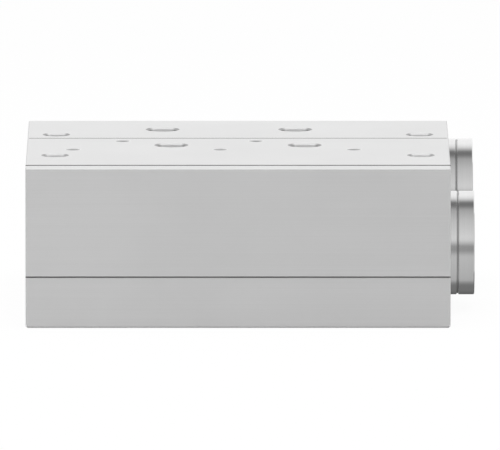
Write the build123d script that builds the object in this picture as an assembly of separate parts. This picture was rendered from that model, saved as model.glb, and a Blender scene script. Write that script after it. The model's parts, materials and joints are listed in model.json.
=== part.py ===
from build123d import *
from math import cos, radians, sin, tan
import os

# Sectional hydraulic manifold block. Millimetres, +Z up.
# The origin is the middle of the flat underside, +X runs along the block to the
# end with the two round caps, and -Y is the front, where the face plate is let in.

# ---- block -------------------------------------------------------------------
LENGTH = 265.0
DEPTH = 229.5
HEIGHT = 100.0
TOP_BREAK = 0.4             # chamfer on the edges of the top
CORNER_BREAK = 0.8          # chamfer on the four upright edges
FOOT_BREAK = 1.2            # chamfer on the edges of the underside
JOINT_BREAK = 0.4           # chamfer where one piece meets the next

# ---- face plate, let into a rebate along the upper front -----------------------
PLATE_BACK_Y = -97.5
PLATE_BOTTOM_Z = 32.3
GASKET_BACK = 1.2           # sheet thickness behind the plate
GASKET_FOOT = 0.4           # thinner lip under the plate
GASKET_PROUD = 0.25         # how far the squeezed seal stands out of the top

# ---- joint between the main section and the rear section -----------------------
JOINT_FRONT_Y = 30.8
JOINT_GASKET = 0.6
JOINT_GASKET_SINK = 1.0     # how far the sheet stops short of the ends and the underside
JOINT_GASKET_PROUD = 0.1    # how far it stands out of the top

# ---- working ports: parallel pipe thread, half inch -----------------------------
PORT_BORE = 19.0            # tapping size of the pipe thread
PORT_MOUTH = 21.0
PORT_THREAD_DEPTH = 18.0
PORT_DRILL = 14.0
PORT_OVERRUN = 4.0          # how far a port drilling runs on past the gallery axis
STATION_X = 41.9            # the two stations stand at -X and +X
REAR_PORT_SHIFT = -5.7      # rear port against the middle of its station
FRONT_ROW_Y = -1.2
REAR_ROW_Y = 73.5

# ---- galleries that run the length of the block ---------------------------------
GALLERY_BORE = 22.0
GALLERY_END_X = -100.0
INLET_DRILL = 16.0
INLET_OVERRUN = 2.0         # how far the inlet drilling runs on into the gallery
FRONT_GALLERY = (-20.2, 41.0)       # Y, Z of the axis in the main section
REAR_GALLERY = (REAR_ROW_Y, 61.3)   # Y, Z of the axis in the rear section
CROSS_DRILL = 9.0
CROSS_DRILL_END_Y = 5.0

# ---- fixing holes in the top -----------------------------------------------------
CORNER_X = 114.5
CORNER_Y = 48.9
CORNER_BORE = 15.0
CORNER_MOUTH = 17.0
TAPPED_BORE = 7.9           # tapping size of the small threads, three eighths of an inch
TAPPED_MOUTH = 9.4
TAPPED_DEPTH = 20.0
TAPPED_SHIFT = (30.7, 20.0) # diagonal pair at each station
SPARE_TAPPED_X = -103.5

# ---- round end caps ---------------------------------------------------------------
CAP_RADIUS = 32.7
CAP_RING = 4.8
CAP_GAP = 0.8
CAP_DISC = 10.1
CAP_EDGE = 0.5
CAP_SEAL_RADIUS = 32.0
SPIGOT_RADIUS = 15.9
SPIGOT_SEAT_RADIUS = 16.0
SPIGOT_SEAT_DEPTH = 8.0
SPIGOT_REACH = 7.0
SPIGOT_BEVEL = 0.6
RING_BORE_RADIUS = 16.2
CAP_SCREW_CIRCLE = 24.3
CAP_SCREW_ENGAGED = 8.5
CAP_TAPPED_DEPTH = 9.5

# ---- O-rings -----------------------------------------------------------------------
ORING_CORD = 2.6
ORING_FLAT = 0.42           # share of the section that the gland presses flat
SPIGOT_ORING_X = -4.0       # middle of the spigot's O-ring, from the end face
FACE_ORING_RADIUS = 6.6
GLAND_SIDE = 0.3            # room beside the cord in its gland
FACE_GLAND_DEPTH = ORING_CORD - GASKET_BACK

# ---- screws: shank radius, head radius, head height, key width, key depth ------------
M6 = (3.0, 5.0, 6.0, 5.0, 3.0)
M8 = (4.0, 6.5, 8.0, 6.0, 4.0)
M12 = (6.0, 9.0, 12.0, 10.0, 6.0)
CLEARANCE = 0.5             # added to a shank's radius for its passage
HEAD_ROOM = 0.5             # added to a head's radius for its pocket
HEAD_SINK = 0.2             # how far a cap screw's head lies below the disc
SCREW_BREAK = 0.08          # edge of a screw, as a share of its head's radius
DRILL_ROOM = 2.0            # how far a tapped hole runs on past its screw

PLATE_SCREW_X = (-92.0, -25.0, 25.0, 92.0)
PLATE_SCREW_Z = 66.0
PLATE_SCREW_ENGAGED = 12.0
PLATE_DRILL_ROOM = 1.0
PLATE_SCREW_POCKET = 9.0
PLATE_DOWEL_X = 115.0
PLATE_DOWEL = (3.0, 20.0)   # radius, length
SECTION_SCREW_X = 88.0
SECTION_SCREW_Z = (18.0, 84.0)
SECTION_SCREW_POCKET = 13.0
SECTION_SCREW_ENGAGED = 19.0
SECTION_DOWEL_X = 40.0
SECTION_DOWEL_Z = 16.0
SECTION_DOWEL = (4.0, 24.0)

# ---- sunk hexagon-socket plugs -------------------------------------------------------
PLUG_RADIUS = 5.72
PLUG_LENGTH = 10.0
PLUG_SINK = 0.8
PLUG_KEY = (6.0, 5.0)
PLUG_BEVEL = 0.6
PLUG_RUNOUT = 1.0           # taper from the plug's bore to its drilling
PLUG_HOLE_DEPTH = 12.0
PLUG_DRILL = 8.0

# ---- derived places -------------------------------------------------------------------
END_X = LENGTH / 2
FRONT_Y = -DEPTH / 2
BACK_Y = DEPTH / 2
REBATE_Y = PLATE_BACK_Y + GASKET_BACK
LEDGE_Z = PLATE_BOTTOM_Z - GASKET_FOOT
JOINT_BACK_Y = JOINT_FRONT_Y + JOINT_GASKET
FACE_GLAND_INNER = FACE_ORING_RADIUS - ORING_CORD / 2 - GLAND_SIDE
FACE_GLAND_OUTER = FACE_ORING_RADIUS + ORING_CORD / 2 + GLAND_SIDE
DRILL_POINT = tan(radians(31.0))    # height of a drill point for each unit of radius
STATIONS = (-STATION_X, STATION_X)
NEAR = 0.01                 # tolerance when an edge or a face is picked by its place

UP = (0, 0, 1)
DOWN = (0, 0, -1)
RIGHT = (1, 0, 0)
LEFT = (-1, 0, 0)
BACKWARD = (0, 1, 0)
FORWARD = (0, -1, 0)


def box(x0, x1, y0, y1, z0, z1):
    """A plain box between two corners."""
    middle = ((x0 + x1) / 2, (y0 + y1) / 2, (z0 + z1) / 2)
    return Pos(*middle) * Box(x1 - x0, y1 - y0, z1 - z0)


def turned(start, direction, outline):
    """Solid turned from an outline of (radius, distance) points along a direction."""
    points = [point for point, last in zip(outline, outline[-1:] + outline[:-1]) if point != last]
    face = make_face(Plane.XZ * Polyline(*points, close=True))
    return Plane(origin=start, z_dir=direction) * revolve(face, Axis.Z)


def rod(start, direction, radius, length):
    """Plain round bar, also used as the cutter of a plain bore."""
    return turned(start, direction, [(0, 0), (radius, 0), (radius, length), (0, length)])


def tube(start, direction, inner, outer, length):
    """Plain washer or sleeve."""
    return turned(start, direction, [(inner, 0), (outer, 0), (outer, length), (inner, length)])


def drilling(start, direction, bore, mouth, depth):
    """Cutter of a blind drilling with a chamfered mouth and a drill point."""
    radius = bore / 2
    bevel = (mouth - bore) / 2
    return turned(start, direction, [
        (0, 0), (mouth / 2, 0), (radius, bevel), (radius, depth),
        (0, depth + radius * DRILL_POINT),
    ])


def port(start, direction, drill, depth):
    """Cutter of a threaded port: chamfer, thread bore, shoulder, then a smaller drilling."""
    radius = PORT_BORE / 2
    bevel = (PORT_MOUTH - PORT_BORE) / 2
    shoulder = (radius - drill / 2) * DRILL_POINT
    return turned(start, direction, [
        (0, 0), (PORT_MOUTH / 2, 0), (radius, bevel), (radius, PORT_THREAD_DEPTH),
        (drill / 2, PORT_THREAD_DEPTH + shoulder), (drill / 2, depth), (0, depth),
    ])


def through_hole(x, y):
    """Cutter of a corner hole, chamfered at the top and at the underside."""
    radius = CORNER_BORE / 2
    mouth = CORNER_MOUTH / 2
    bevel = mouth - radius
    return turned((x, y, HEIGHT), DOWN, [
        (0, 0), (mouth, 0), (radius, bevel), (radius, HEIGHT - bevel), (mouth, HEIGHT), (0, HEIGHT),
    ])


def socket(start, direction, width, depth):
    """Cutter of a hexagon socket, its mouth at the start."""
    hexagon = RegularPolygon(radius=width / 2, side_count=6, major_radius=False)
    return Plane(origin=start, z_dir=direction) * extrude(hexagon, depth)


def screw(start, direction, size, length):
    """Socket head cap screw: start is under the head, the shank points along direction."""
    shank, head, head_height, key, key_depth = size
    rim = SCREW_BREAK * head
    body = turned(start, direction, [
        (0, -head_height), (head - rim, -head_height), (head, rim - head_height), (head, 0),
        (shank, 0), (shank, length - rim), (shank - rim, length), (0, length),
    ])
    top = Vector(*start) - Vector(*direction) * head_height
    return body - socket(top, direction, key, key_depth)


def screw_passage(start, direction, size, pocket, length):
    """Cutter for a sunk head and the clear hole beyond it."""
    shank, head = size[:2]
    return turned(start, direction, [
        (0, 0), (head + HEAD_ROOM, 0), (head + HEAD_ROOM, pocket),
        (shank + CLEARANCE, pocket), (shank + CLEARANCE, length), (0, length),
    ])


def oring(centre, direction, radius):
    """O-ring of the common cord about its centre, with flats where the gland squeezes it."""
    half = ORING_CORD / 2
    flat = half * ORING_FLAT
    return turned(centre, direction, [
        (radius - flat, -half), (radius + flat, -half), (radius + half, -flat), (radius + half, flat),
        (radius + flat, half), (radius - flat, half), (radius - half, flat), (radius - half, -flat),
    ])


def plug(mouth, direction):
    """Threaded plug without a head, sunk a little below the face that it closes."""
    width, depth = PLUG_KEY
    start = Vector(*mouth) + Vector(*direction) * PLUG_SINK
    body = turned(start, direction, [
        (0, 0), (PLUG_RADIUS - PLUG_BEVEL, 0), (PLUG_RADIUS, PLUG_BEVEL),
        (PLUG_RADIUS, PLUG_LENGTH), (0, PLUG_LENGTH),
    ])
    return body - socket(start, direction, width, depth)


def plug_hole(mouth, direction, depth):
    """Cutter of a plug's thread bore and the small drilling on to the gallery."""
    return turned(mouth, direction, [
        (0, 0), (PLUG_RADIUS + PLUG_BEVEL, 0), (PLUG_RADIUS, PLUG_BEVEL), (PLUG_RADIUS, PLUG_HOLE_DEPTH),
        (PLUG_DRILL / 2, PLUG_HOLE_DEPTH + PLUG_RUNOUT), (PLUG_DRILL / 2, depth), (0, depth),
    ])


def cap_screw_places(axis):
    """Middle of each cap screw on the end face of the block."""
    y, z = axis
    turns = (radians(angle) for angle in (45, 135, 225, 315))
    return [(END_X, y + CAP_SCREW_CIRCLE * cos(t), z + CAP_SCREW_CIRCLE * sin(t)) for t in turns]


def gallery(axis):
    """Cutters of a gallery: cap seat, long bore, inlet port and tapped cap holes."""
    y, z = axis
    length = END_X - GALLERY_END_X
    cutters = [
        rod((END_X, y, z), LEFT, SPIGOT_SEAT_RADIUS, SPIGOT_SEAT_DEPTH),
        drilling((END_X, y, z), LEFT, GALLERY_BORE, GALLERY_BORE, length),
        port((-END_X, y, z), RIGHT, INLET_DRILL, END_X + GALLERY_END_X + INLET_OVERRUN),
    ]
    cap_bore = 2 * M6[0]
    for place in cap_screw_places(axis):
        cutters.append(drilling(place, LEFT, cap_bore, cap_bore, CAP_TAPPED_DEPTH))
    return cutters


def cut(piece, cutters):
    """Take every cutter out of a piece."""
    for cutter in cutters:
        piece = piece - cutter
    return piece


def break_joint(piece, plane_y):
    """Chamfer the rim of the face that lies on a joint plane."""
    faces = [f for f in piece.faces() if abs(f.center().Y - plane_y) < NEAR]
    rim = max(faces, key=lambda f: f.area).outer_wire().edges()
    return chamfer(rim, JOINT_BREAK)


# ---- the block as one envelope, parted into its sections --------------------------------
envelope = Pos(0, 0, HEIGHT / 2) * Box(LENGTH, DEPTH, HEIGHT)
envelope = chamfer(envelope.edges().filter_by(Axis.Z), CORNER_BREAK)
envelope = chamfer(envelope.faces().sort_by(Axis.Z)[-1].edges(), TOP_BREAK)
envelope = chamfer(envelope.faces().sort_by(Axis.Z)[0].edges(), FOOT_BREAK)


def main_section():
    """Front section: carries the front ports, the front gallery and the rebate."""
    body = envelope & box(-END_X, END_X, FRONT_Y, JOINT_FRONT_Y, 0, HEIGHT)
    body = break_joint(body, JOINT_FRONT_Y)
    body = body - box(-END_X, END_X, FRONT_Y, REBATE_Y, LEDGE_Z, HEIGHT)
    lips = [e for e in body.edges().filter_by(Axis.X)
            if abs(e.center().Z - HEIGHT) < NEAR and abs(e.center().Y - REBATE_Y) < NEAR
            or abs(e.center().Z - LEDGE_Z) < NEAR and abs(e.center().Y - FRONT_Y) < NEAR]
    body = chamfer(lips, JOINT_BREAK)
    cutters = gallery(FRONT_GALLERY)
    shift_x, shift_y = TAPPED_SHIFT
    tapped = [(SPARE_TAPPED_X, FRONT_ROW_Y - shift_y)]
    for x in STATIONS:
        depth = HEIGHT - FRONT_GALLERY[1] + PORT_OVERRUN
        cutters.append(port((x, FRONT_ROW_Y, HEIGHT), DOWN, PORT_DRILL, depth))
        cross = (x, REBATE_Y, FRONT_GALLERY[1])
        cutters.append(drilling(cross, BACKWARD, CROSS_DRILL, CROSS_DRILL, CROSS_DRILL_END_Y - REBATE_Y))
        cutters.append(tube(cross, BACKWARD, FACE_GLAND_INNER, FACE_GLAND_OUTER, FACE_GLAND_DEPTH))
        tapped += [(x - shift_x, FRONT_ROW_Y + shift_y), (x + shift_x, FRONT_ROW_Y - shift_y)]
    for x, y in tapped:
        cutters.append(drilling((x, y, HEIGHT), DOWN, TAPPED_BORE, TAPPED_MOUTH, TAPPED_DEPTH))
    for x in (-CORNER_X, CORNER_X):
        cutters.append(through_hole(x, -CORNER_Y))
    for x in PLATE_SCREW_X:
        start = (x, JOINT_FRONT_Y, PLATE_SCREW_Z)
        cutters.append(screw_passage(start, FORWARD, M8, PLATE_SCREW_POCKET, JOINT_FRONT_Y - REBATE_Y))
    radius, length = PLATE_DOWEL
    for x in (-PLATE_DOWEL_X, PLATE_DOWEL_X):
        cutters.append(rod((x, REBATE_Y, PLATE_SCREW_Z), BACKWARD, radius, length / 2))
    bore = 2 * M12[0]
    for x in (-SECTION_SCREW_X, SECTION_SCREW_X):
        for z in SECTION_SCREW_Z:
            depth = SECTION_SCREW_ENGAGED + DRILL_ROOM
            cutters.append(drilling((x, JOINT_FRONT_Y, z), FORWARD, bore, bore, depth))
    radius, length = SECTION_DOWEL
    for x in (-SECTION_DOWEL_X, SECTION_DOWEL_X):
        cutters.append(rod((x, JOINT_FRONT_Y, SECTION_DOWEL_Z), FORWARD, radius, length / 2))
    y, z = FRONT_GALLERY
    cutters.append(plug_hole((0, y, 0), UP, z))
    return cut(body, cutters)


def rear_section():
    """Rear section: carries the rear ports and the rear gallery."""
    body = envelope & box(-END_X, END_X, JOINT_BACK_Y, BACK_Y, 0, HEIGHT)
    body = break_joint(body, JOINT_BACK_Y)
    y, z = REAR_GALLERY
    cutters = gallery(REAR_GALLERY)
    for x in STATIONS:
        cutters.append(port((x + REAR_PORT_SHIFT, y, HEIGHT), DOWN, PORT_DRILL, HEIGHT - z))
    for x in (-CORNER_X, CORNER_X):
        cutters.append(through_hole(x, CORNER_Y))
    for x in (-SECTION_SCREW_X, SECTION_SCREW_X):
        for screw_z in SECTION_SCREW_Z:
            start = (x, BACK_Y, screw_z)
            cutters.append(screw_passage(start, FORWARD, M12, SECTION_SCREW_POCKET, BACK_Y - JOINT_BACK_Y))
    radius, length = SECTION_DOWEL
    for x in (-SECTION_DOWEL_X, SECTION_DOWEL_X):
        cutters.append(rod((x, JOINT_BACK_Y, SECTION_DOWEL_Z), BACKWARD, radius, length / 2))
    cutters.append(plug_hole((0, y, 0), UP, z))
    cutters.append(plug_hole((0, BACK_Y, z), FORWARD, BACK_Y - y))
    return cut(body, cutters)


def face_plate():
    """Plate that closes the cross drillings, flush with the front and the top."""
    body = envelope & box(-END_X, END_X, FRONT_Y, PLATE_BACK_Y, PLATE_BOTTOM_Z, HEIGHT)
    body = break_joint(body, PLATE_BACK_Y)
    lip = [e for e in body.edges().filter_by(Axis.X)
           if abs(e.center().Z - PLATE_BOTTOM_Z) < NEAR and abs(e.center().Y - FRONT_Y) < NEAR]
    body = chamfer(lip, JOINT_BREAK)
    bore = 2 * M8[0]
    cutters = []
    for x in PLATE_SCREW_X:
        start = (x, PLATE_BACK_Y, PLATE_SCREW_Z)
        cutters.append(drilling(start, FORWARD, bore, bore, PLATE_SCREW_ENGAGED + PLATE_DRILL_ROOM))
    radius, length = PLATE_DOWEL
    for x in (-PLATE_DOWEL_X, PLATE_DOWEL_X):
        cutters.append(rod((x, PLATE_BACK_Y, PLATE_SCREW_Z), FORWARD, radius, length / 2))
    return cut(body, cutters)


def face_plate_gasket():
    """Moulded seal of L section: a leg behind the plate and a thin lip under it."""
    leg = box(-END_X, END_X, PLATE_BACK_Y, REBATE_Y, LEDGE_Z, HEIGHT + GASKET_PROUD)
    foot = box(-END_X, END_X, FRONT_Y, REBATE_Y, LEDGE_Z, PLATE_BOTTOM_Z)
    cutters = []
    for x in STATIONS:
        cutters.append(rod((x, PLATE_BACK_Y, FRONT_GALLERY[1]), BACKWARD, FACE_GLAND_OUTER, GASKET_BACK))
    for x in PLATE_SCREW_X:
        cutters.append(rod((x, PLATE_BACK_Y, PLATE_SCREW_Z), BACKWARD, M8[0] + CLEARANCE, GASKET_BACK))
    for x in (-PLATE_DOWEL_X, PLATE_DOWEL_X):
        cutters.append(rod((x, PLATE_BACK_Y, PLATE_SCREW_Z), BACKWARD, PLATE_DOWEL[0], GASKET_BACK))
    return cut(leg + foot, cutters)


def section_gasket():
    """Thin sheet seal between the two sections, short of their ends and underside."""
    end = END_X - JOINT_GASKET_SINK
    top = HEIGHT + JOINT_GASKET_PROUD
    sheet = box(-end, end, JOINT_FRONT_Y, JOINT_BACK_Y, JOINT_GASKET_SINK, top)
    cutters = []
    for x in (-SECTION_SCREW_X, SECTION_SCREW_X):
        for z in SECTION_SCREW_Z:
            cutters.append(rod((x, JOINT_FRONT_Y, z), BACKWARD, M12[0] + CLEARANCE, JOINT_GASKET))
    for x in (-SECTION_DOWEL_X, SECTION_DOWEL_X):
        cutters.append(rod((x, JOINT_FRONT_Y, SECTION_DOWEL_Z), BACKWARD, SECTION_DOWEL[0], JOINT_GASKET))
    return cut(sheet, cutters)


def cap(axis):
    """Round cap: disc, spigot with a gland for its O-ring, four sunk screw seats."""
    y, z = axis
    inner_x = CAP_RING + CAP_GAP
    outer_x = inner_x + CAP_DISC
    half_cord = ORING_CORD / 2
    gland_radius = SPIGOT_SEAT_RADIUS - ORING_CORD
    gland_start = SPIGOT_ORING_X - half_cord - GLAND_SIDE
    gland_end = SPIGOT_ORING_X + half_cord + GLAND_SIDE
    body = turned((END_X, y, z), RIGHT, [
        (0, -SPIGOT_REACH), (SPIGOT_RADIUS - SPIGOT_BEVEL, -SPIGOT_REACH),
        (SPIGOT_RADIUS, SPIGOT_BEVEL - SPIGOT_REACH),
        (SPIGOT_RADIUS, gland_start), (gland_radius, gland_start),
        (gland_radius, gland_end), (SPIGOT_RADIUS, gland_end),
        (SPIGOT_RADIUS, inner_x), (CAP_RADIUS - CAP_EDGE, inner_x), (CAP_RADIUS, inner_x + CAP_EDGE),
        (CAP_RADIUS, outer_x - CAP_EDGE), (CAP_RADIUS - CAP_EDGE, outer_x), (0, outer_x),
    ])
    pocket = M6[2] + HEAD_SINK
    cutters = []
    for x, screw_y, screw_z in cap_screw_places(axis):
        cutters.append(screw_passage((x + outer_x, screw_y, screw_z), LEFT, M6, pocket, CAP_DISC))
    return cut(body, cutters)


def cap_ring(axis):
    """Flat ring under the cap, of the same diameter, with the four screw holes."""
    y, z = axis
    body = turned((END_X, y, z), RIGHT, [
        (RING_BORE_RADIUS, 0), (CAP_RADIUS - CAP_EDGE, 0), (CAP_RADIUS, CAP_EDGE),
        (CAP_RADIUS, CAP_RING - CAP_EDGE), (CAP_RADIUS - CAP_EDGE, CAP_RING), (RING_BORE_RADIUS, CAP_RING),
    ])
    places = cap_screw_places(axis)
    return cut(body, [rod(place, RIGHT, M6[0] + CLEARANCE, CAP_RING) for place in places])


def cap_seal(axis):
    """Flat metal seal ring between ring and cap, a little smaller so that a groove shows."""
    y, z = axis
    start_x = END_X + CAP_RING
    body = tube((start_x, y, z), RIGHT, RING_BORE_RADIUS, CAP_SEAL_RADIUS, CAP_GAP)
    places = cap_screw_places(axis)
    holes = [rod((start_x, p[1], p[2]), RIGHT, M6[0] + CLEARANCE, CAP_GAP) for p in places]
    return cut(body, holes)


def cap_oring(axis):
    """O-ring on the spigot of a cap."""
    y, z = axis
    return oring((END_X + SPIGOT_ORING_X, y, z), RIGHT, SPIGOT_SEAT_RADIUS - ORING_CORD / 2)


def cap_screws(axis):
    """Four screws that hold a cap, their heads sunk in its disc."""
    pocket = M6[2] + HEAD_SINK
    head_x = CAP_RING + CAP_GAP + CAP_DISC - pocket
    places = cap_screw_places(axis)
    return Compound([screw((x + head_x, y, z), LEFT, M6, head_x + CAP_SCREW_ENGAGED) for x, y, z in places])


def face_plate_screws():
    """Long screws from the joint face through the main section into the plate."""
    start_y = JOINT_FRONT_Y - PLATE_SCREW_POCKET
    length = start_y - PLATE_BACK_Y + PLATE_SCREW_ENGAGED
    return Compound([screw((x, start_y, PLATE_SCREW_Z), FORWARD, M8, length) for x in PLATE_SCREW_X])


def section_screws():
    """Screws from the back that pull the rear section to the main section."""
    start_y = BACK_Y - SECTION_SCREW_POCKET
    length = start_y - JOINT_FRONT_Y + SECTION_SCREW_ENGAGED
    places = [(x, z) for x in (-SECTION_SCREW_X, SECTION_SCREW_X) for z in SECTION_SCREW_Z]
    return Compound([screw((x, start_y, z), FORWARD, M12, length) for x, z in places])


def dowels(half_x, middle_y, z, size):
    """Pair of dowel pins across a joint."""
    radius, length = size
    return Compound([rod((x, middle_y - length / 2, z), BACKWARD, radius, length) for x in (-half_x, half_x)])


pieces = {
    "main_section": main_section(),
    "rear_section": rear_section(),
    "face_plate": face_plate(),
    "face_plate_gasket": face_plate_gasket(),
    "face_plate_screws": face_plate_screws(),
    "section_gasket": section_gasket(),
    "section_screws": section_screws(),
}
face_plate_middle = (PLATE_BACK_Y + REBATE_Y) / 2
section_middle = (JOINT_FRONT_Y + JOINT_BACK_Y) / 2
pieces["face_plate_dowels"] = dowels(
    PLATE_DOWEL_X, face_plate_middle, PLATE_SCREW_Z, (PLATE_DOWEL[0], PLATE_DOWEL[1] + GASKET_BACK))
pieces["section_dowels"] = dowels(
    SECTION_DOWEL_X, section_middle, SECTION_DOWEL_Z, (SECTION_DOWEL[0], SECTION_DOWEL[1] + JOINT_GASKET))
seal_y = PLATE_BACK_Y + ORING_CORD / 2
pieces["cross_drilling_orings"] = Compound(
    [oring((x, seal_y, FRONT_GALLERY[1]), BACKWARD, FACE_ORING_RADIUS) for x in STATIONS])
for side, axis in (("front", FRONT_GALLERY), ("rear", REAR_GALLERY)):
    pieces[side + "_cap"] = cap(axis)
    pieces[side + "_cap_ring"] = cap_ring(axis)
    pieces[side + "_cap_seal"] = cap_seal(axis)
    pieces[side + "_cap_oring"] = cap_oring(axis)
    pieces[side + "_cap_screws"] = cap_screws(axis)
pieces["drain_plugs"] = Compound([plug((0, y, 0), UP) for y in (FRONT_GALLERY[0], REAR_GALLERY[0])])
pieces["rear_gauge_plug"] = plug((0, BACK_Y, REAR_GALLERY[1]), FORWARD)

os.makedirs("parts", exist_ok=True)
for name, piece in pieces.items():
    export_step(piece, "parts/" + name + ".step")
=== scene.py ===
import json
from math import cos, pi, radians, sin

import bmesh
import bpy
from mathutils import Matrix, Vector


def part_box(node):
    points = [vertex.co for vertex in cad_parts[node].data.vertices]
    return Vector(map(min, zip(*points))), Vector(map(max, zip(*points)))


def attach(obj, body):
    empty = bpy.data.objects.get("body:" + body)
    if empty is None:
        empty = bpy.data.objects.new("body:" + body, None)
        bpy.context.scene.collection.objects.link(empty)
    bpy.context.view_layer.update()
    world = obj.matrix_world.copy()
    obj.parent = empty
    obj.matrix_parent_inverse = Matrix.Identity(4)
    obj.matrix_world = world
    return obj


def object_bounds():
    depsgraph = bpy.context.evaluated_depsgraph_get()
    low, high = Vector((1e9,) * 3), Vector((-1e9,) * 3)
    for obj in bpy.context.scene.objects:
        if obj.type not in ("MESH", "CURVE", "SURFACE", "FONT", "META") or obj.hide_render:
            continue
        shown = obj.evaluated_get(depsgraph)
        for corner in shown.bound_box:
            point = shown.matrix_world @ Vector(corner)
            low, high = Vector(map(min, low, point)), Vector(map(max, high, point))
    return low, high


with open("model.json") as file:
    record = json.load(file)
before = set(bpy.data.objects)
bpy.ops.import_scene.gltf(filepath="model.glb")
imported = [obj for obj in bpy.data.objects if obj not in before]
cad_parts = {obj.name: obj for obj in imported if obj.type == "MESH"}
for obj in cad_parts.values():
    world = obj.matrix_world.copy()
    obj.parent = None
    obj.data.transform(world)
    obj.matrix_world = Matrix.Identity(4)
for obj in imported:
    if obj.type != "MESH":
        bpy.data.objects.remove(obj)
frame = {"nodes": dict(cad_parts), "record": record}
cad_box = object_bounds()


# ---- Aluminium sections ----------------------------------------------------------
# The main section, the rear section and the let-in face plate are aluminium bar, fly cut
# on every face, which leaves a fine straight lay along the block. The edges are filed by
# hand. Their colour carries painted shade in patches, and so do the countersinks, the sides of
# the upright holes and the tapped holes; painted light brightens the foot's chamfer and the
# bore walls of the ports and corner holes.

MILLIMETRE = 0.001
NOISE_SPAN = (0.3, 0.7)             # the values that one noise mostly takes
TWO_NOISES_SPAN = (0.7, 1.3)        # the same for the sum of two


def grey(tone):
    """Opaque colour without a tint."""
    return (tone, tone, tone, 1.0)


MILLED_TONES = (grey(0.705), grey(0.745))
MILLED_ROUGHNESS = (0.46, 0.54)
MILLED_METALLIC = 0.64
CUT_METALLIC = 0.05
# painted shade: the filed edges are darkened to stand in for the shade on their chamfers
FILED_EDGE_PAINTED_SHADE_TONE = grey(0.58)
# painted light: the foot's chamfer is lightened as if lit by light off the floor
FOOT_CHAMFER_PAINTED_LIGHT_TONE = grey(0.97)
# painted shade: a tone that dims the countersinks' highlight
COUNTERSINK_PAINTED_SHADE_TONE = grey(0.78)
# painted shade: dark left and right sides of the countersinks and bores
HOLE_SIDE_PAINTED_SHADE_TONE = grey(0.38)
# painted light: the bore walls are lightened so that they show no shade
BORE_PAINTED_LIGHT_TONE = grey(0.96)
# painted shade: darkens the tapped holes and half their chamfers
TAPPED_HOLE_PAINTED_SHADE_TONE = grey(0.50)

LAY_GRAIN = (5.0, 1500.0, 1500.0)   # ripples in a metre along X, Y and Z
LAY_BUMP = (0.12, 0.02 * MILLIMETRE)
CLOUD_GRAIN = 14.0
EDGE_PATCH_GRAIN = 260.0
LEAST_EDGE_PATCH = 0.75

EDGE_SHADE_WIDTH = 0.9 * MILLIMETRE
EDGE_CORE = 0.35                    # share of that width which takes the painted shade in full
FOOT_HEIGHT = 2.0 * MILLIMETRE      # the foot's chamfer ends below this
MOUTH_BEVEL = 1.2 * MILLIMETRE      # from the radius of a hole to just past its chamfer
WALL_MARGIN = 0.1 * MILLIMETRE      # from the radius of a hole to just past its wall
TAPPED_MARGIN = 0.45 * MILLIMETRE   # from the radius of a tapped hole to half way up its chamfer
PORT_REACH = 24.0 * MILLIMETRE      # how deep a port is bored to its full width
SIDE_SHARE = (0.62, 0.82)           # how far round a hole its sides begin and are full


def new_material(name):
    """Empty node material: its tree, its shader and its object coordinates."""
    material = bpy.data.materials.new(name)
    material.use_nodes = True
    tree = material.node_tree
    shader = tree.nodes["Principled BSDF"]
    place = tree.nodes.new("ShaderNodeTexCoord")
    return material, tree, shader, place.outputs["Object"]


def mapped(tree, vector, location=(0, 0, 0), scale=(1, 1, 1)):
    """The vector scaled and moved, so that a pattern is stretched or centred."""
    node = tree.nodes.new("ShaderNodeMapping")
    node.inputs["Location"].default_value = location
    node.inputs["Scale"].default_value = scale
    tree.links.new(vector, node.inputs["Vector"])
    return node.outputs["Vector"]


def parted(tree, vector):
    """The X, Y and Z of a vector."""
    node = tree.nodes.new("ShaderNodeSeparateXYZ")
    tree.links.new(vector, node.inputs["Vector"])
    return node.outputs


def length(tree, vector):
    """How long a vector is."""
    node = tree.nodes.new("ShaderNodeVectorMath")
    node.operation = "LENGTH"
    tree.links.new(vector, node.inputs[0])
    return node.outputs["Value"]


def noise(tree, vector, scale, detail=2.0):
    """Noise between 0 and 1 over the vector."""
    node = tree.nodes.new("ShaderNodeTexNoise")
    node.inputs["Scale"].default_value = scale
    node.inputs["Detail"].default_value = detail
    tree.links.new(vector, node.inputs["Vector"])
    return node.outputs["Fac"]


def spread(tree, value, low, high, source=NOISE_SPAN):
    """The value carried from the source span to low and high."""
    node = tree.nodes.new("ShaderNodeMapRange")
    node.inputs["From Min"].default_value = source[0]
    node.inputs["From Max"].default_value = source[1]
    node.inputs["To Min"].default_value = low
    node.inputs["To Max"].default_value = high
    tree.links.new(value, node.inputs["Value"])
    return node.outputs["Result"]


def math_node(tree, operation, first, second=None):
    """One math node on sockets or plain numbers."""
    node = tree.nodes.new("ShaderNodeMath")
    node.operation = operation
    for socket, value in zip(node.inputs, (first, second)):
        if isinstance(value, (int, float)):
            socket.default_value = value
        elif value is not None:
            tree.links.new(value, socket)
    return node.outputs["Value"]


def blended(tree, factor, first, second):
    """Mix of two colours, each a socket or four numbers."""
    node = tree.nodes.new("ShaderNodeMix")
    node.data_type = "RGBA"         # its colour sockets are 6 and 7, and 2 is its result
    tree.links.new(factor, node.inputs["Factor"])
    for socket, colour in ((node.inputs[6], first), (node.inputs[7], second)):
        if isinstance(colour, tuple):
            socket.default_value = colour
        else:
            tree.links.new(colour, socket)
    return node.outputs[2]


def bumped(tree, height, shader, strength, distance):
    """Bump from a height on the shader's normal."""
    node = tree.nodes.new("ShaderNodeBump")
    node.inputs["Strength"].default_value = strength
    node.inputs["Distance"].default_value = distance
    tree.links.new(height, node.inputs["Height"])
    tree.links.new(node.outputs["Normal"], shader.inputs["Normal"])


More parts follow.
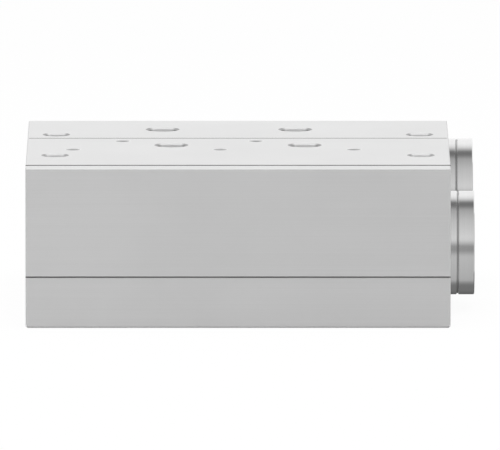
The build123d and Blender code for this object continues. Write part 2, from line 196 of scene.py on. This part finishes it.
def edge_nearness(tree, place, low, high, width):
    """1 on the outer edges of a box-shaped piece, falling to 0 within a width of them."""
    middle = (Vector(low) + Vector(high)) / 2
    half = (Vector(high) - Vector(low)) / 2
    centred = parted(tree, mapped(tree, place, location=tuple(-middle)))
    inset = []
    for axis in range(3):
        away = math_node(tree, "ABSOLUTE", centred[axis])
        inset.append(math_node(tree, "SUBTRACT", half[axis], away))
    smaller = math_node(tree, "MINIMUM", inset[0], inset[1])
    larger = math_node(tree, "MAXIMUM", inset[0], inset[1])
    second = math_node(tree, "MAXIMUM", smaller, math_node(tree, "MINIMUM", larger, inset[2]))
    return spread(tree, second, 1.0, 0.0, source=(width * EDGE_CORE, width))


def from_axis(tree, place, mouth, axis):
    """Place measured from a hole's axis, square to it."""
    kept = [1.0, 1.0, 1.0]
    kept[axis] = 0.0
    moved = tuple(-part * share for part, share in zip(mouth, kept))
    return mapped(tree, place, location=moved, scale=tuple(kept))


def within_holes(tree, place, holes, margin):
    """1 inside any of the holes, each given by its mouth, axis, radius and depth."""
    inside = 0.0
    here = parted(tree, place)
    for mouth, axis, radius, depth in holes:
        away = length(tree, from_axis(tree, place, mouth, axis))
        down = math_node(tree, "ABSOLUTE", math_node(tree, "SUBTRACT", here[axis], mouth[axis]))
        near = math_node(tree, "LESS_THAN", away, radius + margin)
        held = math_node(tree, "MULTIPLY", near, math_node(tree, "LESS_THAN", down, depth))
        inside = math_node(tree, "MAXIMUM", inside, held)
    return inside


def hole_side_shade_mask(tree, place, holes):
    """1 on the left and right of the upright holes, where painted shade darkens their countersinks and
    walls.
    """
    beside = 0.0
    for mouth, axis, radius, depth in holes:
        if axis == 2:
            centred = from_axis(tree, place, mouth, axis)
            away = length(tree, centred)
            share = math_node(tree, "DIVIDE", parted(tree, centred)["X"], away)
            lean = spread(tree, math_node(tree, "ABSOLUTE", share), 0.0, 1.0, source=SIDE_SHARE)
            near = math_node(tree, "LESS_THAN", away, radius + MOUTH_BEVEL)
            beside = math_node(tree, "MAXIMUM", beside, math_node(tree, "MULTIPLY", near, lean))
    return beside


def milled_aluminium(name, low, high, bored, tapped):
    """Fly-cut aluminium with a straight lay along X, painted shade on the filed edges, countersinks, hole
    sides and tapped holes, and painted light on the foot's chamfer and bore walls.
    """
    material, tree, shader, place = new_material(name)
    lay = noise(tree, mapped(tree, place, scale=LAY_GRAIN), 1.0, detail=3.0)
    clouds = noise(tree, place, CLOUD_GRAIN, detail=3.0)
    tone = spread(tree, math_node(tree, "ADD", lay, clouds), 0.0, 1.0, source=TWO_NOISES_SPAN)
    # painted shade on the filed edges, broken into patches by a noise
    edge_patches = spread(tree, noise(tree, place, EDGE_PATCH_GRAIN), LEAST_EDGE_PATCH, 1.0)
    edge = math_node(tree, "MULTIPLY", edge_nearness(tree, place, low, high, EDGE_SHADE_WIDTH), edge_patches)
    foot = math_node(tree, "LESS_THAN", parted(tree, place)["Z"], FOOT_HEIGHT)
    # the filed edges take painted shade, and the foot's chamfer takes painted light
    edge_painted_shade_and_light = blended(tree, foot, FILED_EDGE_PAINTED_SHADE_TONE, FOOT_CHAMFER_PAINTED_LIGHT_TONE)
    colour = blended(tree, edge, blended(tree, tone, *MILLED_TONES), edge_painted_shade_and_light)
    cut = within_holes(tree, place, bored + tapped, MOUTH_BEVEL)
    if bored:
        # painted shade: the countersinks take a tone that dims their highlight
        colour = blended(tree, cut, colour, COUNTERSINK_PAINTED_SHADE_TONE)
        # painted light: lightens the bore walls against their shade
        colour = blended(tree, within_holes(tree, place, bored, WALL_MARGIN), colour, BORE_PAINTED_LIGHT_TONE)
        # painted shade on the left and right sides of each upright hole
        colour = blended(tree, hole_side_shade_mask(tree, place, bored), colour, HOLE_SIDE_PAINTED_SHADE_TONE)
    if tapped:
        # painted shade in the tapped holes
        colour = blended(tree, within_holes(tree, place, tapped, TAPPED_MARGIN), colour, TAPPED_HOLE_PAINTED_SHADE_TONE)
    tree.links.new(colour, shader.inputs["Base Color"])
    tree.links.new(spread(tree, lay, *MILLED_ROUGHNESS), shader.inputs["Roughness"])
    worked = math_node(tree, "MAXIMUM", edge, cut)
    metal = spread(tree, worked, MILLED_METALLIC, CUT_METALLIC, source=(0.0, 1.0))
    tree.links.new(metal, shader.inputs["Metallic"])
    bumped(tree, lay, shader, *LAY_BUMP)
    return material


def mount_size(name, key):
    """One size of a mount in the record, in metres."""
    mount = next(mount for mount in frame["record"]["mounts"] if mount["name"] == name)
    return mount["dims"][key] * MILLIMETRE


def threaded_ports():
    """Mouth, axis, radius and depth of the threaded ports, in the top and at the left end."""
    found = []
    for mount in frame["record"]["mounts"]:
        if mount["kind"] == "threaded_hole":
            mouth = Vector(mount["pos_m"])
            axis = 2 if mount["axis"][2] else 0
            mouth[axis] = block_top if axis == 2 else cad_box[0][0]
            found.append((mouth, axis, mount["dims"]["r_mm"] * MILLIMETRE, PORT_REACH))
    return found


def upright_holes(name, radius, depth):
    """Mouth, axis, radius and depth of the openings in the top whose names begin so."""
    found = []
    for opening in frame["record"]["physics"]["openings"]:
        if opening["name"].startswith(name):
            low, high = opening["box_m"]
            mouth = Vector(((low[0] + high[0]) / 2, (low[1] + high[1]) / 2, block_top))
            found.append((mouth, 2, radius, depth))
    return found


def dress(node, material):
    """Give every material slot of a CAD node the material."""
    for slot in frame["nodes"][node].material_slots:
        slot.material = material


block_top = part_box("main_section")[1][2]
ports = threaded_ports()
corner_holes = upright_holes("corner_hole", mount_size("corner_holes", "hole_r_mm"), 2 * block_top)
tapped_holes = upright_holes(
    "tapped_hole", mount_size("station_threads_left", "hole_r_mm"), PORT_REACH)

for section in ("main_section", "rear_section", "face_plate"):
    low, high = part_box(section)
    bored = [hole for hole in ports + corner_holes if low[1] < hole[0].y < high[1]]
    tapped = [hole for hole in tapped_holes if low[1] < hole[0].y < high[1]]
    dress(section, milled_aluminium("milled_aluminium_" + section, low, high, bored, tapped))


# ---- Seals in the joints -----------------------------------------------------------
# The sheet gasket between the sections, the moulded seal round the face plate and the
# O-rings are black nitrile rubber with a dull, slightly dusty skin. They are squeezed in
# their joints, and only the edges of the gasket and of the moulded seal show.

RUBBER_TONES = (grey(0.075), grey(0.14))      # bare, and dusty
RUBBER_ROUGHNESS = (0.62, 0.8)
DUST_GRAIN = 90.0
DUST_SPAN = (0.45, 0.8)
SKIN_GRAIN = 2600.0
SKIN_BUMP = (0.3, 0.03 * MILLIMETRE)


def nitrile_rubber():
    """Dull black rubber with fine grain and a little dust."""
    material, tree, shader, place = new_material("nitrile_rubber")
    dust = spread(tree, noise(tree, place, DUST_GRAIN, detail=4.0), 0.0, 1.0, source=DUST_SPAN)
    grain = noise(tree, place, SKIN_GRAIN)
    tree.links.new(blended(tree, dust, *RUBBER_TONES), shader.inputs["Base Color"])
    tree.links.new(spread(tree, grain, *RUBBER_ROUGHNESS), shader.inputs["Roughness"])
    bumped(tree, grain, shader, *SKIN_BUMP)
    return material


rubber = nitrile_rubber()
for seal in (
    "face_plate_gasket", "section_gasket", "cross_drilling_orings", "front_cap_oring", "rear_cap_oring",
):
    dress(seal, rubber)


# ---- Round end caps ------------------------------------------------------------------
# A flat ring and a disc with a spigot close each gallery, with a seal of softer, duller
# steel between them. All are turned from bar, which leaves fine rings on the flat faces
# and fine hoops round the rims. The ground dowels, which are hidden, share their finish.

BRIGHT_STEEL_TONES = (grey(0.70), grey(0.76))
BRIGHT_STEEL_ROUGHNESS = (0.08, 0.12)
SOFT_STEEL_TONES = (grey(0.34), grey(0.42))
SOFT_STEEL_ROUGHNESS = (0.32, 0.42)
TURNING_PITCH = 0.18 * MILLIMETRE
TURNING_BUMP = (0.10, 0.01 * MILLIMETRE)
STAIN_GRAIN = 35.0


def turned_steel(name, axis_y, axis_z, tones=BRIGHT_STEEL_TONES, roughness=BRIGHT_STEEL_ROUGHNESS):
    """Steel turned about an axis along X."""
    material, tree, shader, place = new_material(name)
    centred = parted(tree, mapped(tree, place, location=(0, -axis_y, -axis_z)))
    across = math_node(tree, "POWER", centred["Y"], 2.0)
    upward = math_node(tree, "POWER", centred["Z"], 2.0)
    radius = math_node(tree, "SQRT", math_node(tree, "ADD", across, upward))
    groove = tree.nodes.new("ShaderNodeCombineXYZ")
    tree.links.new(centred["X"], groove.inputs["X"])
    tree.links.new(radius, groove.inputs["Y"])
    hoops = noise(tree, groove.outputs["Vector"], 1.0 / TURNING_PITCH)
    stain = noise(tree, place, STAIN_GRAIN, detail=3.0)
    tone = spread(tree, math_node(tree, "ADD", hoops, stain), 0.0, 1.0, source=TWO_NOISES_SPAN)
    tree.links.new(blended(tree, tone, *tones), shader.inputs["Base Color"])
    tree.links.new(spread(tree, stain, *roughness), shader.inputs["Roughness"])
    shader.inputs["Metallic"].default_value = 1.0
    bumped(tree, hoops, shader, *TURNING_BUMP)
    return material


for side in ("front", "rear"):
    low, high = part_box(side + "_cap")
    axis = (low[1] + high[1]) / 2, (low[2] + high[2]) / 2
    bright_steel = turned_steel("turned_steel_" + side, *axis)
    soft_steel = turned_steel("soft_steel_" + side, *axis, SOFT_STEEL_TONES, SOFT_STEEL_ROUGHNESS)
    dress(side + "_cap", bright_steel)
    dress(side + "_cap_ring", bright_steel)
    dress(side + "_cap_seal", soft_steel)

for dowel in ("face_plate_dowels", "section_dowels"):
    dress(dowel, turned_steel("ground_steel_" + dowel, 0.0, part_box(dowel)[0][2]))


# ---- Screws and plugs ------------------------------------------------------------------
# Socket head screws and the headless pipe plugs are hardened steel, blackened in a hot
# bath and oiled, with bare metal rubbed through in patches.

BLACKENED_TONES = ((0.045, 0.045, 0.048, 1.0), (0.16, 0.16, 0.165, 1.0))   # whole, and rubbed
BLACKENED_ROUGHNESS = (0.34, 0.5)
BLACKENED_METALLIC = 0.85
WORN_GRAIN = 180.0
WORN_SPAN = (0.5, 0.75)
OXIDE_GRAIN = 1800.0
OXIDE_BUMP = (0.2, 0.02 * MILLIMETRE)


def blackened_steel():
    """Black oxide finish with rubbed patches."""
    material, tree, shader, place = new_material("blackened_steel")
    worn = spread(tree, noise(tree, place, WORN_GRAIN, detail=4.0), 0.0, 1.0, source=WORN_SPAN)
    grain = noise(tree, place, OXIDE_GRAIN)
    tree.links.new(blended(tree, worn, *BLACKENED_TONES), shader.inputs["Base Color"])
    tree.links.new(spread(tree, grain, *BLACKENED_ROUGHNESS), shader.inputs["Roughness"])
    shader.inputs["Metallic"].default_value = BLACKENED_METALLIC
    bumped(tree, grain, shader, *OXIDE_BUMP)
    return material


black_steel = blackened_steel()
for fastener in (
    "face_plate_screws", "section_screws", "front_cap_screws", "rear_cap_screws",
    "drain_plugs", "rear_gauge_plug",
):
    dress(fastener, black_steel)


# ---- Threads in the ports and tapped holes ---------------------------------------------
# Every pipe port and every small fixing hole is tapped in the aluminium. Each thread is a
# helical ridge on its bore, with a flat crest, and it starts below the chamfered mouth.

PIPE_THREAD = {
    "pitch": 1.814 * MILLIMETRE, "height": 0.5 * MILLIMETRE, "first": 2.6 * MILLIMETRE,
    "turns": 7, "steps": 48,
}
SCREW_THREAD = {
    "pitch": 1.5875 * MILLIMETRE, "height": 0.4 * MILLIMETRE, "first": 0.9 * MILLIMETRE,
    "turns": 10, "steps": 32,
}
RIDGE_FOOT = 0.06 * MILLIMETRE      # how far a ridge is let into the wall
FOOT_SHARES = (0.10, 0.90)          # where a ridge's foot starts and ends in a pitch
CREST_SHARES = (0.42, 0.58)         # where its flat crest does
FLANK_GRAIN = 900.0
FLANK_ROUGHNESS = (0.3, 0.42)
FLANK_BUMP = (0.15, 0.02 * MILLIMETRE)


def thread_ridge(mouth, outward, radius, pitch, height, first, turns, steps):
    """Helical ridge in a bore, as a closed solid. first is the depth of its upper end."""
    ridge = bmesh.new()
    wall = radius + RIDGE_FOOT
    crest = radius - height
    profile = (
        (wall, FOOT_SHARES[0]), (crest, CREST_SHARES[0]),
        (crest, CREST_SHARES[1]), (wall, FOOT_SHARES[1]),
    )
    corners = [ridge.verts.new((across, 0.0, -first - share * pitch)) for across, share in profile]
    ridge.faces.new(corners)
    bmesh.ops.spin(
        ridge, geom=ridge.verts[:] + ridge.edges[:] + ridge.faces[:], cent=(0, 0, 0), axis=(0, 0, -1),
        dvec=(0, 0, -pitch / steps), angle=2 * pi * turns, steps=steps * turns, use_merge=False)
    bmesh.ops.recalc_face_normals(ridge, faces=ridge.faces[:])
    turn = Vector((0, 0, 1)).rotation_difference(outward).to_matrix().to_4x4()
    bmesh.ops.transform(ridge, matrix=Matrix.Translation(mouth) @ turn, verts=ridge.verts[:])
    return ridge


def joined_piece(name, parts, material):
    """One object from several closed meshes, riding on the block."""
    mesh = bpy.data.meshes.new(name)
    whole = bmesh.new()
    for part in parts:
        part.to_mesh(mesh)
        part.free()
        whole.from_mesh(mesh)
    whole.to_mesh(mesh)
    whole.free()
    piece = bpy.data.objects.new(name, mesh)
    bpy.context.scene.collection.objects.link(piece)
    mesh.materials.append(material)
    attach(piece, "root")
    return piece


def tapped_aluminium():
    """Fresh cut flanks of a tapped thread."""
    material, tree, shader, place = new_material("tapped_aluminium")
    chatter = noise(tree, place, FLANK_GRAIN)
    tree.links.new(blended(tree, chatter, *MILLED_TONES), shader.inputs["Base Color"])
    tree.links.new(spread(tree, chatter, *FLANK_ROUGHNESS), shader.inputs["Roughness"])
    shader.inputs["Metallic"].default_value = 1.0
    bumped(tree, chatter, shader, *FLANK_BUMP)
    return material


flanks = tapped_aluminium()
upward = Vector((0, 0, 1))
leftward = Vector((-1, 0, 0))
port_ridges = [
    thread_ridge(mouth, upward if axis == 2 else leftward, radius, **PIPE_THREAD)
    for mouth, axis, radius, depth in ports
]
joined_piece("port_threads", port_ridges, flanks)

tapped_ridges = [
    thread_ridge(mouth, upward, radius, **SCREW_THREAD) for mouth, axis, radius, depth in tapped_holes
]
joined_piece("tapped_threads", tapped_ridges, flanks)


# ---- Floor -------------------------------------------------------------------------------
# A plain white sweep just under the block. It shows white to the camera, and keeps a soft
# shadow and the contact shade of the block.

FLOOR_REACH = 12.0
FLOOR_GAP = 0.02 * MILLIMETRE
FLOOR_PAPER = grey(0.9)
FLOOR_WHITENESS_CAMERA = 0.95
FLOOR_WHITENESS_GLOSSY = 0.5

sheet = bmesh.new()
bmesh.ops.create_grid(sheet, x_segments=1, y_segments=1, size=FLOOR_REACH)
bmesh.ops.translate(sheet, verts=sheet.verts[:], vec=(0, 0, -FLOOR_GAP))
floor_mesh = bpy.data.meshes.new("floor")
sheet.to_mesh(floor_mesh)
sheet.free()
floor = bpy.data.objects.new("floor", floor_mesh)
bpy.context.scene.collection.objects.link(floor)
floor.visible_glossy = False


def bare_material(name):
    """Material with nothing but its output: its tree and that output."""
    material = bpy.data.materials.new(name)
    material.use_nodes = True
    tree = material.node_tree
    tree.nodes.clear()
    return material, tree, tree.nodes.new("ShaderNodeOutputMaterial")


def white_sweep():
    """Diffuse paper that is mixed with plain white where the camera or a mirror sees it."""
    material, tree, output = bare_material("white_sweep")
    paper = tree.nodes.new("ShaderNodeBsdfDiffuse")
    paper.inputs["Color"].default_value = FLOOR_PAPER
    glow = tree.nodes.new("ShaderNodeEmission")
    rays = tree.nodes.new("ShaderNodeLightPath").outputs
    seen = math_node(tree, "MAXIMUM", rays["Is Camera Ray"], rays["Is Transmission Ray"])
    shown = math_node(tree, "MULTIPLY", seen, FLOOR_WHITENESS_CAMERA)
    mirrored = math_node(tree, "MULTIPLY", rays["Is Glossy Ray"], FLOOR_WHITENESS_GLOSSY)
    mixer = tree.nodes.new("ShaderNodeMixShader")
    tree.links.new(math_node(tree, "MAXIMUM", shown, mirrored), mixer.inputs["Fac"])
    tree.links.new(paper.outputs["BSDF"], mixer.inputs[1])
    tree.links.new(glow.outputs["Emission"], mixer.inputs[2])
    tree.links.new(mixer.outputs["Shader"], output.inputs["Surface"])
    return material


floor_mesh.materials.append(white_sweep())


# ---- Soft light ----------------------------------------------------------------------------
# An even white surround, weaker from the sides, and one broad soft box overhead. A long
# tunnel of graded paper round the block only shows in reflections, where it gives bright
# metal its grey bands and lets the front darken a little to the right.

AMBIENT_LEVEL = 0.90
AMBIENT_SIDE_LEVEL = 0.25
AMBIENT_SIDE_SPAN = (0.35, 0.75)    # how far sideways a direction leans where the side begins and is full
LAMP_WIDTH = 2.4
LAMP_DEPTH = 1.6
LAMP_POWER = 34.0
LAMP_PLACE = (0.15, -0.3, 2.4)
LAMP_TILT = radians(-7)

world = bpy.data.worlds.new("surround")
bpy.context.scene.world = world
world.use_nodes = True
tree = world.node_tree
background = tree.nodes["Background"]
background.inputs["Color"].default_value = grey(1.0)
rays = tree.nodes.new("ShaderNodeLightPath").outputs
direct = math_node(tree, "MAXIMUM", rays["Is Camera Ray"], rays["Is Glossy Ray"])
direct = math_node(tree, "MAXIMUM", direct, rays["Is Transmission Ray"])
direction = tree.nodes.new("ShaderNodeTexCoord").outputs["Generated"]
sideways = math_node(tree, "ABSOLUTE", parted(tree, direction)["X"])
ambient = spread(tree, sideways, AMBIENT_LEVEL, AMBIENT_SIDE_LEVEL, source=AMBIENT_SIDE_SPAN)
indirect = math_node(tree, "MULTIPLY", ambient, math_node(tree, "SUBTRACT", 1.0, direct))
tree.links.new(math_node(tree, "ADD", indirect, direct), background.inputs["Strength"])

lamp = bpy.data.lights.new("overhead_soft_box", "AREA")
lamp.shape = "RECTANGLE"
lamp.size = LAMP_WIDTH
lamp.size_y = LAMP_DEPTH
lamp.energy = LAMP_POWER
soft_box = bpy.data.objects.new("overhead_soft_box", lamp)
soft_box.matrix_world = Matrix.Translation(LAMP_PLACE) @ Matrix.Rotation(LAMP_TILT, 4, "X")
soft_box.visible_glossy = False
bpy.context.scene.collection.objects.link(soft_box)

TUNNEL_RADIUS = 1.6
TUNNEL_LENGTH = 5.0
TUNNEL_SIDES = 96
# tone of the paper at an angle up from the front horizon: negative angles are below it
TUNNEL_TONES = (
    (-180, 0.50), (-155, 0.12), (-126, 0.21), (-104, 0.22), (-98, 0.25), (-91, 0.36), (-84, 0.53),
    (-27, 0.64), (-21, 0.63), (-8.5, 0.37), (0.5, 0.38), (9, 0.67), (13.5, 0.81), (20, 0.845),
    (58, 0.66), (83, 0.47), (93.5, 0.24), (99, 0.20), (105, 0.24), (118, 0.84), (126, 1.03),
    (136, 1.13), (160, 1.08), (180, 1.05),
)
END_PAPER_TONE = 0.72
PAPER_FADE = 0.42                   # share that the front paper loses in a metre to the right

tube = bmesh.new()
bmesh.ops.create_cone(
    tube, cap_ends=True, segments=TUNNEL_SIDES, radius1=TUNNEL_RADIUS, radius2=TUNNEL_RADIUS,
    depth=TUNNEL_LENGTH)
bmesh.ops.rotate(tube, cent=(0, 0, 0), matrix=Matrix.Rotation(pi / 2, 3, "Y"), verts=tube.verts[:])
for face in tube.faces:
    face.material_index = 1 if len(face.verts) > 4 else 0
tunnel_mesh = bpy.data.meshes.new("tunnel")
tube.to_mesh(tunnel_mesh)
tube.free()
tunnel = bpy.data.objects.new("tunnel", tunnel_mesh)
tunnel.visible_camera = False
tunnel.visible_diffuse = False
tunnel.visible_transmission = False
tunnel.visible_shadow = False
bpy.context.scene.collection.objects.link(tunnel)


def glowing_paper(name):
    """Material that only glows: itself, its tree and its emission shader."""
    material, tree, output = bare_material(name)
    glow = tree.nodes.new("ShaderNodeEmission")
    tree.links.new(glow.outputs["Emission"], output.inputs["Surface"])
    return material, tree, glow


def graded_paper():
    """Paper graded by the angle round the tunnel, which fades to the right at the front."""
    material, tree, glow = glowing_paper("graded_paper")
    place = parted(tree, tree.nodes.new("ShaderNodeTexCoord").outputs["Object"])
    toward = math_node(tree, "MULTIPLY", place["Y"], -1.0)
    angle = math_node(tree, "ARCTAN2", place["Z"], toward)
    grade = tree.nodes.new("ShaderNodeValToRGB")
    tree.links.new(spread(tree, angle, 0.0, 1.0, source=(-pi, pi)), grade.inputs["Fac"])
    stops = grade.color_ramp.elements
    for degrees_up, _ in TUNNEL_TONES[1:-1]:
        stops.new(0.5 + degrees_up / 360.0)
    for stop, (degrees_up, tone) in zip(stops, TUNNEL_TONES):
        stop.position = 0.5 + degrees_up / 360.0
        stop.color = grey(tone)
    tree.links.new(grade.outputs["Color"], glow.inputs["Color"])
    ahead = spread(tree, toward, 0.0, PAPER_FADE, source=(0.0, TUNNEL_RADIUS))
    rightward = math_node(tree, "SUBTRACT", place["X"], cad_box[1][0])
    fade = math_node(tree, "SUBTRACT", 1.0, math_node(tree, "MULTIPLY", ahead, rightward))
    tree.links.new(math_node(tree, "MAXIMUM", fade, 0.0), glow.inputs["Strength"])
    return material


def end_paper():
    """Even paper across the tunnel's two ends."""
    material, tree, glow = glowing_paper("end_paper")
    glow.inputs["Color"].default_value = grey(END_PAPER_TONE)
    return material


tunnel_mesh.materials.append(graded_paper())
tunnel_mesh.materials.append(end_paper())


# ---- Camera ----------------------------------------------------------------------------------
# A long lens far off, a little above the block and almost square to its front.

CAMERA_AIM = Vector((0.00743, -0.11945, 0.0656))
CAMERA_AWAY = 13.018
CAMERA_RISE = radians(7.84)
CAMERA_YAW = radians(0.0535)
CAMERA_LENS = 1504.8
CAMERA_SENSOR = 36.0
CAMERA_CLIP = (0.5, 100.0)

level = cos(CAMERA_RISE)
view_line = Vector((sin(CAMERA_YAW) * level, cos(CAMERA_YAW) * level, -sin(CAMERA_RISE)))
lens = bpy.data.cameras.new("camera")
lens.lens = CAMERA_LENS
lens.sensor_width = CAMERA_SENSOR
lens.clip_start, lens.clip_end = CAMERA_CLIP
camera = bpy.data.objects.new("camera", lens)
camera.location = CAMERA_AIM - view_line * CAMERA_AWAY
camera.rotation_euler = view_line.to_track_quat("-Z", "Y").to_euler()
bpy.context.scene.collection.objects.link(camera)
bpy.context.scene.camera = camera
bpy.context.scene.view_settings.view_transform = "Standard"
